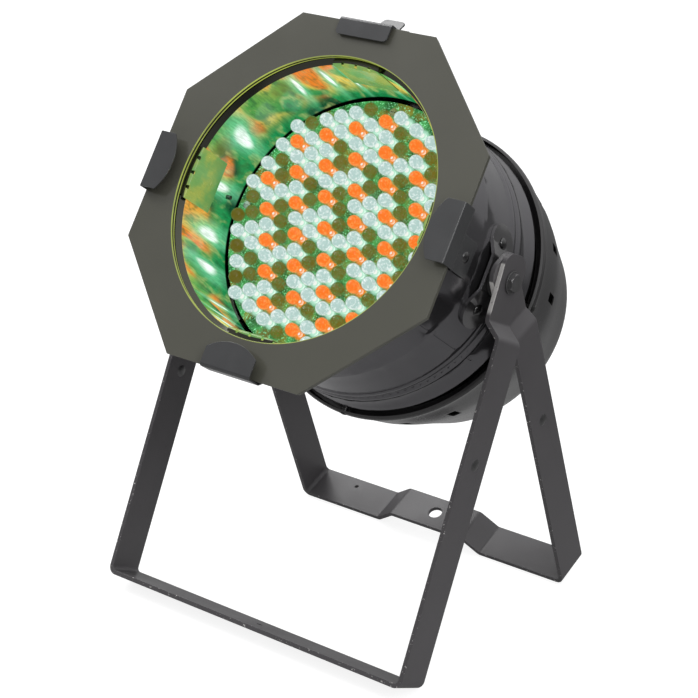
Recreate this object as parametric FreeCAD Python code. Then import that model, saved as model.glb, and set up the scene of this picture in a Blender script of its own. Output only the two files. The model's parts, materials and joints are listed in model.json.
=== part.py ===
import FreeCAD, Part
import math
import os

# Stage light: a short can with a tilted octagonal accessory frame, hung between two U-shaped yokes.
# Millimetres. World frame: +X right, -Y is the side that the light faces, +Z up, floor at Z = 0.
# "Can frame": x right, y backwards along the can's axis, z up; its origin is the yokes' pivot axis.

# ---------------------------------------------------------------- attitude and placing
TILT = 33.2                 # the can's front points up by this angle, degrees
LEAN = 23.6                 # each yoke's lean from upright, degrees
YOKE_REACH = 282.4          # pivot axis to the outer face of a yoke's bar
BAR_WIDTH = 30.0
BAR_THICK = 3.2

# ---------------------------------------------------------------- accessory frame
FRAME_FLAT = 127.0          # half the width across flats: a 10 inch frame
FRAME_EDGE = 56.0           # half the length of each of its four long edges
FRAME_HOLE_R = 102.2
FRAME_FRONT = -95.0         # y of its front face
SHEET = 1.0
SHEET_GAP = 2.2
FRAME_HEM = 0.5             # the front sheet stands this much higher along part of its top edge
FRAME_HEM_END = 34.0

# ---------------------------------------------------------------- can
CAN_FRONT = -86.0           # y where the rolled rim starts
RIM_FRONT = -88.8
CAN_IN_R = 99.4             # inner radius at CAN_FRONT
CAN_TAPER = 0.045           # growth of radius per mm of length
WALL = 1.0
BEAD_AT = (17.0, 26.0)
BEAD_TUBE = 6.8              # section radius of a bead
BEAD_SUNK = 5.5             # its section's centre lies this far inside the wall
CREASE_AT = -23.0
FLARE_FROM = 36.0
CAN_REAR = 47.0
FLARE_R = 108.4
SPIGOT_R = 103.0
SEAM_ANGLE = -30.0
SEAM_DEPTH = 0.45
SEAM_WIDTH = 1.0

CAP_FRONT = 50.5
CAP_R = 113.5               # its rolled front edge
CAP_PROFILE = ((55.7, 112.8), (64.0, 111.2), (76.0, 109.3), (88.0, 107.3), (100.0, 104.1),
               (124.0, 96.7), (149.0, 89.7))
CAP_END = 152.0
CAP_END_R = 89.0
CAP_WALL = 1.2
CAP_CORNER = 3.0
CAP_RING_Y = 60.0           # a ring inside it sits on the can's spigot, behind an open channel
CAP_SCREW_ANGLES = (88.5, 178.5, 268.5, 358.5)
CAP_SCREW_Y = 54.0
VENT_COUNT = 18
VENT_FIRST = 7.4
VENT_FROM = 79.0
VENT_LENGTH = 13.0
VENT_WIDTH = 6.8

# ---------------------------------------------------------------- clips and latch
CLIP_T = 1.2
CLIP_BEND = 1.2             # inside radius of its folds
CLIP_HALF = 21.0
CLIP_WEB = 128.6            # outer face of a clip's web
CLIP_LIP_FRONT = -102.7
LIP_DEPTH = 21.0
LIP_ARC_R = 35.0
CLIP_RIVET_Y = -40.0
SEAT_RIVET_Y = -66.0
SEAT_FOLD_Y = FRAME_FRONT + 2 * SHEET + SHEET_GAP + CLIP_T + 0.05
LATCH_LIP_FRONT = -98.2
LATCH_LIP_LOW = 116.0
LATCH_TOP = 129.0
LATCH_HALF = 21.3
LATCH_TAB_FOOT = -76.0      # where the finger tab leaves the latch's top
LATCH_TAB_TIP = (143.2, -66.8)
LATCH_TAB_HALF = 9.0
PIN_Y = -84.0
PIN_Z = 123.0
PIN_R = 1.5
RUN_GAP = 0.05              # radial clearance of a running fit

# ---------------------------------------------------------------- pivots and yokes
STRAP_T = 2.4               # the pivot bracket's thickness
EAR_ANGLE = 13.25           # its rivets sit this far above and below the pivot
PAD_X = 109.0               # outer face of its raised pad
PAD_HALF = 13.0
PAD_FOOT_X = 103.9
PAD_FOOT_Z = 22.5
DISC_R = 12.5
DISC_X = 113.6              # outer face of the friction disc
REAR_TAB_X = 117.0          # outer face of the rear yoke's tab
FRONT_TAB_X = 120.4
REAR_LEG_X = 124.2          # outer face of the rear yoke's leg
FRONT_LEG_X = 132.3
BOLT_R = 4.0
BOLT_FLATS = 12.0           # across the flats of its low head
BOLT_HEAD = 3.0
WASHER_T = 1.2
TAB_TOP = 19.0
TAB_CORNER = 11.0
PLUG_AT = 125.0
PLUG_R = 4.6
RISE = 10.5                 # height of the raised middle of the rear yoke's bar
RISE_TOP_HALF = 33.0
RISE_FOOT_HALF = 47.5
HANG_R = 5.5
BAR_HOLE_R = 2.2            # in the middle of the front yoke's bar

# ---------------------------------------------------------------- light board
BOARD_FRONT = -28.2
BOARD_T = 1.6
BOARD_R = 98.0
LED_PITCH = 11.84
LED_TURN = 23.06            # the square grid of diodes is turned by this angle
LED_R = 5.0
LED_TALL = 18.0             # 13 mm lenses standing 5 mm off the board
LED_REACH_SQ = 58           # grid places up to this squared distance from the middle are filled
SCREW_PLACES = ((-7, 3), (3, 7), (7, -3), (-3, -7))

# ---------------------------------------------------------------- rear panel
PANEL_Y = 149.4
PANEL_T = 1.4
PANEL_R = 85.0
BUTTON_XS = (-27.0, -9.0, 9.0, 27.0)
BUTTON_Z = 22.0
BUTTON_R = 4.0
BUTTON_TRAVEL = 1.2
DISPLAY_Z = 44.0
DISPLAY_SIZE = (48.0, 17.0)
DATA_XS = (-26.0, 26.0)
DATA_Z = -10.0
DATA_SIZE = (26.0, 31.0)
RELEASE_UP = 12.4           # height of the release tab above its socket's middle
POWER_XS = (-19.0, 19.0)
POWER_Z = -48.0
POWER_SIZE = (31.0, 24.0)
POWER_PINS = ((-7.0, -1.5), (7.0, -1.5), (0.0, 2.5))
FUSE_AT = (58.0, -10.0)
FUSE_R = 6.0

V = FreeCAD.Vector
ORIGIN = V(0, 0, 0)
AXIS_X = V(1, 0, 0)
AXIS_Y = V(0, 1, 0)
AXIS_Z = V(0, 0, 1)


def sin(angle):
    return math.sin(math.radians(angle))


def cos(angle):
    return math.cos(math.radians(angle))


# The part stands on the floor on the two yoke bars' inner edges, centred over the origin.
PIVOT_UP = YOKE_REACH * cos(LEAN) + BAR_WIDTH / 2 * sin(LEAN)
CLIP_OUTER_BEND = CLIP_BEND + CLIP_T
CLIP_CORNER_Y = CLIP_LIP_FRONT + CLIP_OUTER_BEND
CLIP_CORNER_Z = CLIP_WEB - CLIP_OUTER_BEND
FOREMOST = CLIP_CORNER_Y * cos(TILT) - CLIP_CORNER_Z * sin(TILT) - CLIP_OUTER_BEND
CORNER_Y = CAP_END - CAP_CORNER
CORNER_R = CAP_END_R - CAP_CORNER
REARMOST = CORNER_Y * cos(TILT) + CORNER_R * sin(TILT) + CAP_CORNER
PIVOT_BACK = -(FOREMOST + REARMOST) / 2


# ================================================================ building blocks
def box(x0, x1, y0, y1, z0, z1):
    return Part.makeBox(x1 - x0, y1 - y0, z1 - z0, V(x0, y0, z0))


def rod(radius, start, end):
    """A cylinder from one point to another."""
    return Part.makeCylinder(radius, (end - start).Length, start, end - start)


def prism(points, direction):
    """Extrude a closed outline, given by its corners."""
    wire = Part.makePolygon(points + [points[0]])
    return Part.Face(wire).extrude(direction)


def lathe(profile):
    """Turn a closed outline of (y, radius) corners about the can's axis."""
    points = [V(radius, y, 0) for y, radius in profile]
    wire = Part.makePolygon(points + [points[0]])
    return Part.Face(wire).revolve(ORIGIN, AXIS_Y, 360)


def ring(y, radius, thickness):
    """A round ring about the can's axis."""
    return Part.makeTorus(radius, thickness, V(0, y, 0), AXIS_Y)


def round_can(shape, angle):
    """Turn a shape about the can's axis, from +x towards +z."""
    turned = shape.copy()
    turned.rotate(ORIGIN, V(0, -1, 0), angle)
    return turned


def mirrored(shape):
    return shape.mirror(ORIGIN, AXIS_X)


def joined(shapes):
    whole = shapes[0].fuse(shapes[1:]) if len(shapes) > 1 else shapes[0]
    return whole.removeSplitter()


def turn(before, corner, after):
    """Signed turning angle of a path at a corner, radians, positive to the left."""
    heading_in = math.atan2(corner[1] - before[1], corner[0] - before[0])
    heading_out = math.atan2(after[1] - corner[1], after[0] - corner[0])
    angle = heading_out - heading_in
    return (angle + math.pi) % (2 * math.pi) - math.pi


def beside(points, distance):
    """The path shifted to its right by a distance, with sharp corners."""
    shifted = []
    last = len(points) - 1
    for i, (px, py) in enumerate(points):
        ax, ay = points[i - 1] if i > 0 else points[0]
        bx, by = points[i + 1] if i < last else points[last]
        first = math.atan2(py - ay, px - ax) if i > 0 else math.atan2(by - py, bx - px)
        second = math.atan2(by - py, bx - px) if i < last else first
        middle = first + ((second - first + math.pi) % (2 * math.pi) - math.pi) / 2
        reach = distance / math.cos(middle - first)
        shifted.append((px + reach * math.sin(middle), py - reach * math.cos(middle)))
    return shifted


def rounded_edges(points, radii):
    """Edges of a path in the XY plane whose corners are arcs."""
    edges = []
    start = V(points[0][0], points[0][1], 0)
    for i in range(1, len(points) - 1):
        corner = V(points[i][0], points[i][1], 0)
        before = V(points[i - 1][0], points[i - 1][1], 0) - corner
        after = V(points[i + 1][0], points[i + 1][1], 0) - corner
        before.normalize()
        after.normalize()
        half = abs(turn(points[i - 1], points[i], points[i + 1])) / 2
        reach = radii[i - 1] * math.tan(half)
        bisector = before + after
        bisector.normalize()
        arc_start = corner + before * reach
        arc_end = corner + after * reach
        depth = radii[i - 1] / math.cos(half) - radii[i - 1]
        edges.append(Part.makeLine(start, arc_start))
        edges.append(Part.Arc(arc_start, corner + bisector * depth, arc_end).toShape())
        start = arc_end
    edges.append(Part.makeLine(start, V(points[-1][0], points[-1][1], 0)))
    return edges


def bent_strip(points, inside_radius, thickness, half_width):
    """Bent sheet metal: the path is one face's section in XY, the metal lies to its right."""
    other = beside(points, thickness)
    near = []
    far = []
    for i in range(1, len(points) - 1):
        to_right = turn(points[i - 1], points[i], points[i + 1]) < 0
        near.append(inside_radius + (thickness if to_right else 0))
        far.append(inside_radius + (0 if to_right else thickness))
    edges = rounded_edges(points, near) + rounded_edges(other, far)
    edges.append(Part.makeLine(V(*points[0], 0), V(*other[0], 0)))
    edges.append(Part.makeLine(V(*points[-1], 0), V(*other[-1], 0)))
    face = Part.Face(Part.Wire(Part.__sortEdges__(edges)))
    strip = face.extrude(V(0, 0, 2 * half_width))
    strip.translate(V(0, 0, -half_width))
    return strip


# ================================================================ placing
def on_can(shape):
    placed = shape.copy()
    placed.rotate(ORIGIN, AXIS_X, -TILT)
    placed.translate(V(0, PIVOT_BACK, PIVOT_UP))
    return placed


def on_yoke(shape, lean):
    """A yoke is drawn hanging straight down from the pivot, then leaned."""
    placed = shape.copy()
    placed.rotate(ORIGIN, AXIS_X, lean)
    placed.translate(V(0, PIVOT_BACK, PIVOT_UP))
    return placed


def export(name, shape):
    shape.exportStep("parts/" + name + ".step")
    print(name, "solids", len(shape.Solids), "valid", shape.isValid(), "volume", round(shape.Volume))


def export_can(name, *shapes):
    placed = [on_can(shape) for shape in shapes]
    export(name, placed[0] if len(placed) == 1 else Part.makeCompound(placed))


# ================================================================ can and cap
def can_radius(y):
    """Outer radius of the tapered barrel."""
    return CAN_IN_R + WALL + CAN_TAPER * (y - CAN_FRONT)


def barrel():
    rim_r = CAN_IN_R + 5.2
    outer = [(CAN_FRONT + 2.5, can_radius(CAN_FRONT + 2.5)), (FLARE_FROM, can_radius(FLARE_FROM)),
             (CAN_REAR - 1.5, FLARE_R), (CAN_REAR, FLARE_R), (CAN_REAR, SPIGOT_R), (62.0, SPIGOT_R)]
    inner = [(62.0, SPIGOT_R - WALL), (CAN_REAR - WALL, SPIGOT_R - WALL),
             (CAN_REAR - WALL, FLARE_R - WALL - 0.4), (CAN_REAR - 2.0, FLARE_R - WALL - 0.3),
             (FLARE_FROM, can_radius(FLARE_FROM) - WALL), (CAN_FRONT, CAN_IN_R)]
    rim = [(RIM_FRONT, rim_r - 1.2), (RIM_FRONT, rim_r), (RIM_FRONT + 2.0, rim_r),
           (RIM_FRONT + 2.0, rim_r - 1.0), (CAN_FRONT, CAN_IN_R + WALL + 1.2)]
    shell = lathe(rim + outer + inner)
    for y in BEAD_AT:
        under = lathe([(y - 9, 0), (y + 9, 0), (y + 9, can_radius(y + 9) - WALL / 2),
                       (y - 9, can_radius(y - 9) - WALL / 2)])
        shell = shell.fuse(ring(y, can_radius(y) - BEAD_SUNK, BEAD_TUBE).cut(under))
    y = CREASE_AT
    crease = lathe([(y - 3.0, can_radius(y - 3) - 0.5), (y - 3.0, can_radius(y - 3)),
                    (y, can_radius(y) + 0.9), (y + 3.0, can_radius(y + 3)),
                    (y + 3.0, can_radius(y) - 0.5)])
    shell = shell.fuse(crease)
    seam_parts = ((CAN_FRONT + 4, CREASE_AT - 4), (CREASE_AT + 4, BEAD_AT[0] - 5),
                  (BEAD_AT[1] + 5, FLARE_FROM))
    for y0, y1 in seam_parts:
        bottom = [V(can_radius(y) - SEAM_DEPTH, y, -SEAM_WIDTH / 2) for y in (y0, y1)]
        beyond = [V(FLARE_R + 5, y, -SEAM_WIDTH / 2) for y in (y1, y0)]
        groove = prism(bottom + beyond, V(0, 0, SEAM_WIDTH))
        shell = shell.cut(round_can(groove, SEAM_ANGLE))
    for angle in (0, 90, 180, 270):
        hole = rod(1.65, V(90, SEAT_RIVET_Y, 0), V(112, SEAT_RIVET_Y, 0))
        shell = shell.cut(round_can(hole, angle))
    for angle in (0, 180, 270):
        shell = shell.cut(round_can(rod(1.65, V(90, CLIP_RIVET_Y, 0), V(112, CLIP_RIVET_Y, 0)), angle))
    for pivot in (0, 180):
        shell = shell.cut(round_can(rod(BOLT_R + 0.3, V(90, 0, 0), V(120, 0, 0)), pivot))
        for ear in (-EAR_ANGLE, EAR_ANGLE):
            shell = shell.cut(round_can(rod(2.05, V(90, 0, 0), V(120, 0, 0)), pivot + ear))
    for angle in CAP_SCREW_ANGLES:
        shell = shell.cut(round_can(rod(1.75, V(90, CAP_SCREW_Y, 0), V(112, CAP_SCREW_Y, 0)), angle))
    return shell.removeSplitter()


def cap_radius(y):
    """Outer radius of the rear cap."""
    for (y0, r0), (y1, r1) in zip(CAP_PROFILE, CAP_PROFILE[1:]):
        if y <= y1:
            return r0 + (r1 - r0) * (y - y0) / (y1 - y0)
    return CAP_END_R


def rear_cap():
    t = CAP_WALL
    outside = [(CAP_FRONT, CAP_R - 2.2), (CAP_FRONT + 0.9, CAP_R - 0.6), (CAP_FRONT + 2.4, CAP_R),
               (CAP_FRONT + 4.4, CAP_R)]
    outside += CAP_PROFILE
    outside += [(CAP_END - 1.0, CAP_END_R - 0.8), (CAP_END, CAP_END_R - CAP_CORNER), (CAP_END, 81.0)]
    inside = [(CAP_END - t, 81.0), (CAP_END - t, CAP_END_R - CAP_CORNER)]
    inside += [(y, radius - t) for y, radius in reversed(CAP_PROFILE[1:])]
    inside += [(CAP_RING_Y + t, cap_radius(CAP_RING_Y + t) - t), (CAP_RING_Y + t, SPIGOT_R + 0.3),
               (CAP_RING_Y, SPIGOT_R + 0.3), (CAP_RING_Y, cap_radius(CAP_RING_Y) - t)]
    inside += [(CAP_FRONT + 4.4, CAP_R - t), (CAP_FRONT + 2.4, CAP_R - t), (CAP_FRONT + 1.4, CAP_R - 2.2)]
    shell = lathe(outside + inside)
    for i in range(VENT_COUNT):
        slot = box(80.0, 120.0, VENT_FROM, VENT_FROM + VENT_LENGTH, -VENT_WIDTH / 2, VENT_WIDTH / 2)
        shell = shell.cut(round_can(slot, VENT_FIRST + i * 360.0 / VENT_COUNT))
    for angle in CAP_SCREW_ANGLES:
        shell = shell.cut(round_can(rod(1.75, V(100, CAP_SCREW_Y, 0), V(120, CAP_SCREW_Y, 0)), angle))
    return shell.removeSplitter()


def pan_head(x, y, radius, height, shank_r, shank_to):
    """A screw or rivet along x: low domed head seated at x, shank inwards to shank_to."""
    sphere_r = (radius ** 2 + height ** 2) / (2 * height)
    dome = Part.makeSphere(sphere_r, V(x + height - sphere_r, y, 0))
    dome = dome.common(box(x, x + height + 1, y - radius - 1, y + radius + 1, -radius - 1, radius + 1))
    return joined([dome, rod(shank_r, V(shank_to, y, 0), V(x + height / 2, y, 0))])


def cap_screw():
    """Shouldered screw that holds the cap off the can's spigot."""
    collar = rod(2.6, V(SPIGOT_R + 0.05, CAP_SCREW_Y, 0), V(CAP_R - 2.3, CAP_SCREW_Y, 0))
    return joined([collar, pan_head(CAP_R + 0.05, CAP_SCREW_Y, 2.4, 0.5, 1.7, 100.0)])


# ================================================================ accessory frame
def octagon(flat, edge, y, thickness):
    corners = [(-edge, flat), (edge, flat), (flat, edge), (flat, -edge),
               (edge, -flat), (-edge, -flat), (-flat, -edge), (-flat, edge)]
    return prism([V(x, y, z) for x, z in corners], V(0, thickness, 0))


def frame_sheet(flat, y, hole):
    sheet = octagon(flat, FRAME_EDGE, y, SHEET)
    return sheet.cut(rod(hole, V(0, y - 1, 0), V(0, y + SHEET + 1, 0)))


def front_sheet():
    sheet = frame_sheet(FRAME_FLAT, FRAME_FRONT, FRAME_HOLE_R)
    hem = box(-FRAME_EDGE, FRAME_HEM_END, FRAME_FRONT, FRAME_FRONT + SHEET,
              FRAME_FLAT - 1, FRAME_FLAT + FRAME_HEM)
    return joined([sheet, hem])


def frame_spacer():
    """A thin octagonal strip round three sides; the fourth side stays open for the filter."""
    y = FRAME_FRONT + SHEET
    strip = octagon(FRAME_FLAT - 0.6, FRAME_EDGE, y, SHEET_GAP)
    strip = strip.cut(octagon(FRAME_FLAT - 9, FRAME_EDGE - 3, y, SHEET_GAP))
    open_side = box(-FRAME_EDGE, FRAME_EDGE, y - 1, y + SHEET_GAP + 1, FRAME_FLAT - 9.5, FRAME_FLAT + 1)
    return strip.cut(open_side)


# ================================================================ clips, seats and latch
def lip_cutter():
    """What is cut away from a clip's lip to give it its curved inner edge."""
    block = box(CLIP_WEB - LIP_DEPTH - 5, CLIP_WEB - 2, CLIP_LIP_FRONT - 1, CLIP_LIP_FRONT + 2,
                -CLIP_HALF - 1, CLIP_HALF + 1)
    centre = CLIP_WEB - LIP_DEPTH + LIP_ARC_R
    return block.cut(rod(LIP_ARC_R, V(centre, CLIP_LIP_FRONT - 2, 0), V(centre, CLIP_LIP_FRONT + 3, 0)))


def clip():
    base_x = can_radius(-40) + 1.9
    path = [(base_x, -31.0), (base_x, -51.0), (CLIP_WEB, -89.6),
            (CLIP_WEB, CLIP_LIP_FRONT), (CLIP_WEB - LIP_DEPTH, CLIP_LIP_FRONT)]
    strap = bent_strip(path, CLIP_BEND, CLIP_T, CLIP_HALF).cut(lip_cutter())
    for side in (-1, 1):
        taper = prism([V(150, -84, side * 30), V(150, -84, side * CLIP_HALF), V(150, -54, side * 13),
                       V(150, -20, side * 13), V(150, -20, side * 30)], V(-60, 0, 0))
        strap = strap.cut(taper)
    return strap.cut(rod(1.65, V(90, CLIP_RIVET_Y, 0), V(120, CLIP_RIVET_Y, 0)))


def seat(reach, half_lip):
    """Notched plate inside the can's mouth that turns out behind the frame."""
    path = [(97.4, -60.0), (97.4, SEAT_FOLD_Y), (reach, SEAT_FOLD_Y)]
    plate = bent_strip(path, 0.6, CLIP_T, 19.0)
    plate = plate.cut(box(99.5, reach + 1, SEAT_FOLD_Y - 3, SEAT_FOLD_Y + 3, half_lip, 30))
    plate = plate.cut(box(99.5, reach + 1, SEAT_FOLD_Y - 3, SEAT_FOLD_Y + 3, -30, -half_lip))
    for z in (-11.0, 0.0, 11.0):
        plate = plate.cut(rod(1.6, V(90, SEAT_FOLD_Y, z), V(99.2, SEAT_FOLD_Y, z)))
    return plate.cut(rod(1.65, V(90, SEAT_RIVET_Y, 0), V(120, SEAT_RIVET_Y, 0)))


def latch_bracket():
    """At the top the seat reaches higher and carries two ears for the latch's pin."""
    plate = seat(126.0, 18.6)
    solids = [plate]
    for side in (-1, 1):
        ear = prism([V(112, SEAT_FOLD_Y, 0), V(126, SEAT_FOLD_Y, 0), V(126, -80.5, 0), V(123, -79, 0),
                     V(112, -79, 0), V(106, -86, 0), V(106, SEAT_FOLD_Y, 0)], V(0, 0, CLIP_T))
        ear.translate(V(0, 0, side * 18.0 - CLIP_T / 2))
        solids.append(ear)
    bracket = joined(solids)
    return bracket.cut(rod(PIN_R, V(PIN_Z, PIN_Y, -30), V(PIN_Z, PIN_Y, 30)))


def latch_tab_side(side):
    """What is cut away beside the finger tab, leaving it narrow with round corners."""
    half = LATCH_TAB_HALF
    tip = LATCH_TAB_TIP[0]
    corner = 3.5
    across = sorted((side * half, side * 30))
    beside_tab = box(LATCH_TOP - 3, tip + 5, LATCH_TAB_FOOT - 2.5, -50, *across)
    corner_across = sorted((side * (half - corner), side * half))
    square = box(tip - corner, tip + 5, -80, -50, *corner_across)
    arc_z = side * (half - corner)
    round_part = rod(corner, V(tip - corner, -81, arc_z), V(tip - corner, -49, arc_z))
    return beside_tab.fuse(square.cut(round_part))


def latch():
    """Rocking latch, drawn with the can's radial direction along x."""
    path = [(LATCH_LIP_LOW, LATCH_LIP_FRONT), (LATCH_TOP, LATCH_LIP_FRONT),
            (LATCH_TOP, LATCH_TAB_FOOT), LATCH_TAB_TIP]
    mirrored_path = [(x, -y) for x, y in path]
    body = bent_strip(mirrored_path, 0.9, CLIP_T, LATCH_HALF).mirror(ORIGIN, AXIS_Y)
    for side in (-1, 1):
        body = body.cut(latch_tab_side(side))
        edge_z = side * LATCH_HALF
        arc_z = side * (LATCH_HALF - 3)
        low = box(LATCH_LIP_LOW - 1, LATCH_LIP_LOW + 3, -99, -96, edge_z - 3, edge_z + 3)
        low = low.cut(rod(3, V(LATCH_LIP_LOW + 3, -100, arc_z), V(LATCH_LIP_LOW + 3, -95, arc_z)))
        body = body.cut(low)
        ear = prism([V(LATCH_TOP - 0.4, -89.2, 0), V(LATCH_TOP - 0.4, -78.6, 0), V(PIN_Z, -78.8, 0),
                     V(118.4, -81.4, 0), V(118.4, -86.6, 0), V(PIN_Z, -89.2, 0)], V(0, 0, CLIP_T))
        ear.translate(V(0, 0, side * 19.9 - CLIP_T / 2))
        body = body.fuse(ear)
    body = body.cut(rod(PIN_R + RUN_GAP, V(PIN_Z, PIN_Y, -30), V(PIN_Z, PIN_Y, 30)))
    return body.removeSplitter()


def latch_pin():
    shaft = rod(PIN_R, V(PIN_Z, PIN_Y, -21.6), V(PIN_Z, PIN_Y, 21.6))
    head = rod(2.6, V(PIN_Z, PIN_Y, 20.8), V(PIN_Z, PIN_Y, 22.0))
    tail = rod(2.4, V(PIN_Z, PIN_Y, -22.0), V(PIN_Z, PIN_Y, -20.8))
    return joined([shaft, head, tail])


def latch_spring():
    """Close-wound torsion spring on the pin, as touching rings."""
    coils = []
    for i in range(9):
        coils.append(Part.makeTorus(2.7, 0.55, V(PIN_Z, PIN_Y, -4.4 + 1.1 * i), AXIS_Z))
    return Part.makeCompound(coils)


# ================================================================ pivots
def pivot_bracket():
    """Strap riveted to the barrel above and below, its middle bridging to a flat raised pad."""
    band = lathe([(-14, can_radius(-14) + 0.1), (14, can_radius(14) + 0.1),
                  (14, can_radius(14) + STRAP_T), (-14, can_radius(-14) + STRAP_T)])
    ears = []
    for angle in (-EAR_ANGLE, EAR_ANGLE):
        ears.append(round_can(rod(14.0, V(95, 0, 0), V(125, 0, 0)), angle))
    ends = band.common(joined(ears + [box(95, 125, -14, 14, -24, 24)]))
    ends = ends.cut(box(95, 125, -15, 15, -PAD_FOOT_Z + 2, PAD_FOOT_Z - 2))
    path = [(PAD_FOOT_X, PAD_FOOT_Z), (PAD_X, PAD_HALF), (PAD_X, -PAD_HALF), (PAD_FOOT_X, -PAD_FOOT_Z)]
    bridge = bent_strip(path, 1.5, STRAP_T, 14.0)
    bridge.rotate(ORIGIN, AXIS_X, 90)
    under = lathe([(-30, 0), (30, 0), (30, can_radius(30) + 0.1), (-30, can_radius(-30) + 0.1)])
    bracket = ends.fuse(bridge).cut(under)
    for y in BEAD_AT:
        bracket = bracket.cut(ring(y, can_radius(y) - BEAD_SUNK, BEAD_TUBE + 0.15))
    for angle in (-EAR_ANGLE, EAR_ANGLE):
        bracket = bracket.cut(round_can(rod(2.05, V(90, 0, 0), V(120, 0, 0)), angle))
    return bracket.cut(rod(BOLT_R + 0.3, V(90, 0, 0), V(120, 0, 0))).removeSplitter()


def friction_disc():
    disc = rod(DISC_R, V(PAD_X, 0, 0), V(DISC_X, 0, 0))
    return disc.cut(rod(BOLT_R + 0.3, V(90, 0, 0), V(120, 0, 0)))


def pivot_washer():
    washer = rod(8.0, V(FRONT_TAB_X + 0.2, 0, 0), V(FRONT_TAB_X + 0.2 + WASHER_T, 0, 0))
    return washer.cut(rod(BOLT_R + 0.2, V(110, 0, 0), V(125, 0, 0)))


def hexagon(x, across_flats, height):
    corner = across_flats / 2 / cos(30)
    points = [V(x, corner * cos(60 * i), corner * sin(60 * i)) for i in range(6)]
    return prism(points, V(height, 0, 0))


def pivot_bolt():
    seat_x = FRONT_TAB_X + 0.2 + WASHER_T
    head = hexagon(seat_x, BOLT_FLATS, BOLT_HEAD)
    low_r = BOLT_FLATS / 2 + BOLT_HEAD
    chamfer = Part.makeCone(low_r, BOLT_FLATS / 2, BOLT_HEAD, V(seat_x, 0, 0), AXIS_X)
    shank = rod(BOLT_R, V(97.0, 0, 0), V(seat_x + 1, 0, 0))
    return joined([head.common(chamfer), shank])


def pivot_nut():
    nut = hexagon(94.6, 13.0, 6.5)
    plate = box(100.0, 101.6, -12, 12, -12, 12)
    plate = plate.common(lathe([(-20, 0), (20, 0), (20, 103.2), (-20, 103.2)]))
    return joined([nut, plate]).cut(rod(BOLT_R, V(90, 0, 0), V(105, 0, 0)))


# ================================================================ yokes
def yoke(tab_x, leg_x, bend_from, bend_to, middle):
    """U of flat bar hanging down -z from the pivot axis along x."""
    half = [(tab_x, TAB_TOP), (tab_x, -bend_from), (leg_x, -bend_to), (leg_x, -YOKE_REACH)]
    path = half + middle + [(-x, z) for x, z in reversed(half)]
    radii_inside = 3.0
    strip = bent_strip(path, radii_inside, BAR_THICK, BAR_WIDTH / 2)
    strip.rotate(ORIGIN, AXIS_X, 90)
    strip = strip.cut(rod(BOLT_R + RUN_GAP, V(-140, 0, 0), V(140, 0, 0)))
    for side in (-1, 1):
        corner = box(-140, 140, side * BAR_WIDTH / 2 - TAB_CORNER, side * BAR_WIDTH / 2 + TAB_CORNER,
                     TAB_TOP - TAB_CORNER, TAB_TOP + 1)
        centre_y = side * (BAR_WIDTH / 2 - TAB_CORNER)
        centre_z = TAB_TOP - TAB_CORNER
        keep = rod(TAB_CORNER, V(-141, centre_y, centre_z), V(141, centre_y, centre_z))
        inside_y = sorted((0, centre_y))
        corner = corner.cut(keep).cut(box(-141, 141, inside_y[0], inside_y[1], 0, TAB_TOP + 2))
        strip = strip.cut(corner)
        hole = rod(PLUG_R - 0.6, V(side * 100, 0, -PLUG_AT), V(side * 140, 0, -PLUG_AT))
        strip = strip.cut(hole)
    return strip


def front_yoke():
    body = yoke(FRONT_TAB_X, FRONT_LEG_X, 29.0, 39.0, [])
    return body.cut(rod(BAR_HOLE_R, V(0, 0, -YOKE_REACH - 5), V(0, 0, -YOKE_REACH + 10)))


def rear_yoke():
    middle = [(RISE_FOOT_HALF, -YOKE_REACH), (RISE_TOP_HALF, -YOKE_REACH + RISE),
              (-RISE_TOP_HALF, -YOKE_REACH + RISE), (-RISE_FOOT_HALF, -YOKE_REACH)]
    body = yoke(REAR_TAB_X, REAR_LEG_X, 34.0, 43.0, middle)
    body = body.cut(rod(HANG_R, V(0, 0, -YOKE_REACH - 5), V(0, 0, -YOKE_REACH + 20)))
    return body.cut(rod(1.5, V(-85, 7, -YOKE_REACH - 5), V(-85, 7, -YOKE_REACH + 10)))


def leg_plug(leg_x):
    """Blind plug through a leg, low dome on each face."""
    inside = leg_x - BAR_THICK
    shank = rod(PLUG_R - 0.65, V(inside, 0, -PLUG_AT), V(leg_x, 0, -PLUG_AT))
    sphere_r = 12.0
    drop = math.sqrt(sphere_r ** 2 - PLUG_R ** 2)
    outer = Part.makeSphere(sphere_r, V(leg_x - drop, 0, -PLUG_AT))
    outer = outer.common(box(leg_x, leg_x + 3, -10, 10, -PLUG_AT - 10, -PLUG_AT + 10))
    inner = Part.makeSphere(sphere_r, V(inside + drop, 0, -PLUG_AT))
    inner = inner.common(box(inside - 3, inside, -10, 10, -PLUG_AT - 10, -PLUG_AT + 10))
    return joined([shank, outer, inner])


# ================================================================ light board
def grid_place(i, j):
    """Position (x, z) of a diode on the turned square grid."""
    x = LED_PITCH * (i * cos(LED_TURN) - j * sin(LED_TURN))
    z = LED_PITCH * (i * sin(LED_TURN) + j * cos(LED_TURN))
    return x, z


def led_colour(i, j):
    """Red in every other column and row, blue in a staggered lattice between, green elsewhere."""
    if i % 2 and j % 2 == 0:
        return "red"
    if i % 2:
        return "green"
    if j % 2:
        return "blue" if i % 4 == (0 if j % 4 == 1 else 2) else "green"
    if j % 4 == 2 and abs(j) < 6:
        return "blue"
    return "green" if i % 4 == 2 or j == 6 else "blue"


def led():
    base = BOARD_FRONT
    centre = base - LED_TALL + LED_R
    flange = rod(LED_R + 0.55, V(0, base - 1.0, 0), V(0, base, 0))
    body = rod(LED_R, V(0, centre, 0), V(0, base, 0))
    dome = Part.makeSphere(LED_R, V(0, centre, 0), V(0, -1, 0), 0, 90, 360)
    return joined([flange, body, dome])


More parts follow.
